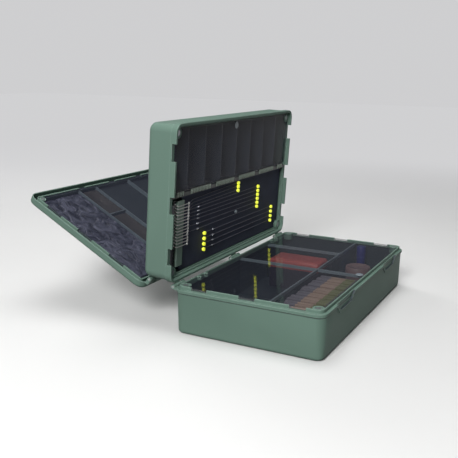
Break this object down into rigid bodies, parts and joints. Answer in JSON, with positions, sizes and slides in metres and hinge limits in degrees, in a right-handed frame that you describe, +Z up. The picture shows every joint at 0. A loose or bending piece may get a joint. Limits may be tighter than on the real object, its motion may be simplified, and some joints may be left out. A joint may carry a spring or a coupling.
{
  "type": "tackle box",
  "caption": "Two-deck fishing tackle box with a rig tray hinged on a deep divided base, a shallow lid hinged on the tray's back, and smoked clear inner covers; modelled open.",
  "frame": {"origin": "middle of the base's flat underside, on the floor", "axes": "+X from the hinge side to the front, +Y along the hinges, +Z up"},
  "size_m": [0.4551, 0.3696, 0.2759],
  "materials": {
    "green_plastic": "satin",
    "smoked_plastic": "gloss",
    "clear_grey_plastic": "gloss",
    "black_plastic": "satin",
    "grey_stud": "satin",
    "foam": "matte",
    "steel": "satin",
    "magnet_metal": "satin",
    "rig_line": "matte"
  },
  "bodies": {
    "base": {"base_tray": "green_plastic", "base_long_divider": "clear_grey_plastic", "base_rear_divider_1": "clear_grey_plastic", "base_rear_divider_2": "clear_grey_plastic", "base_front_divider": "clear_grey_plastic", "base_magnet_1": "magnet_metal", "base_magnet_2": "magnet_metal", "base_magnet_3": "magnet_metal", "base_magnet_4": "magnet_metal", "tray_hinge_pin_1": "steel", "tray_hinge_pin_2": "steel", "tray_hinge_pin_3": "steel"},
    "base_cover": {"base_cover": "smoked_plastic", "base_cover_stud": "grey_stud"},
    "rig_tray": {"rig_tray": "green_plastic", "pocket_insert": "black_plastic", "flap_hinge_strip": "black_plastic", "flap_hinge_pin": "steel", "rig_board": "foam", "board_stud": "grey_stud", "hook_rail": "green_plastic", "hook_comb": "black_plastic", "rig_tray_magnet_1": "magnet_metal", "rig_tray_magnet_2": "magnet_metal", "rig_tray_magnet_3": "magnet_metal", "rig_tray_magnet_4": "magnet_metal", "rig_1": "rig_line", "rig_2": "rig_line", "rig_3": "rig_line", "rig_4": "rig_line", "rig_5": "rig_line", "rig_6": "rig_line", "rig_7": "rig_line", "rig_8": "rig_line", "rig_9": "rig_line", "rig_10": "rig_line", "rig_11": "rig_line", "rig_12": "rig_line", "rig_13": "rig_line", "spare_hook_1": "steel", "spare_hook_2": "steel", "spare_hook_3": "steel", "spare_hook_4": "steel", "spare_hook_5": "steel", "lid_hinge_pin_1": "steel", "lid_hinge_pin_2": "steel", "lid_hinge_pin_3": "steel"},
    "rig_flap": {"rig_flap": "smoked_plastic", "flap_stud": "grey_stud"},
    "lid": {"lid_tray": "green_plastic", "lid_cross_divider": "clear_grey_plastic", "lid_divider_1": "clear_grey_plastic", "lid_divider_2": "clear_grey_plastic", "lid_divider_3": "clear_grey_plastic", "lid_divider_4": "clear_grey_plastic", "lid_magnet_1": "magnet_metal", "lid_magnet_2": "magnet_metal"},
    "lid_cover": {"lid_cover": "smoked_plastic"}
  },
  "joints": [
    {"name": "tray_hinge", "type": "hinge", "parent": "base", "child": "rig_tray", "pos_m": [-0.1094, 0, 0.0614], "axis": [0, -1, 0], "range_deg": [-86.8, 0]},
    {"name": "lid_hinge", "type": "hinge", "parent": "rig_tray", "child": "lid", "pos_m": [-0.14651, 0, 0.06578], "axis": [0, -1, 0], "range_deg": [-65.1, 0]},
    {"name": "base_cover_hinge", "type": "hinge", "parent": "base", "child": "base_cover", "pos_m": [-0.096, 0, 0.06375], "axis": [0, -1, 0], "range_deg": [0, 62]},
    {"name": "rig_flap_hinge", "type": "hinge", "parent": "rig_tray", "child": "rig_flap", "pos_m": [-0.10875, 0, 0.18586], "axis": [0, 1, 0], "range_deg": [0, 72]},
    {"name": "lid_cover_hinge", "type": "hinge", "parent": "lid", "child": "lid_cover", "pos_m": [-0.16417, 0, 0.06478], "axis": [0, 1, 0], "range_deg": [0, 55]}
  ]
}
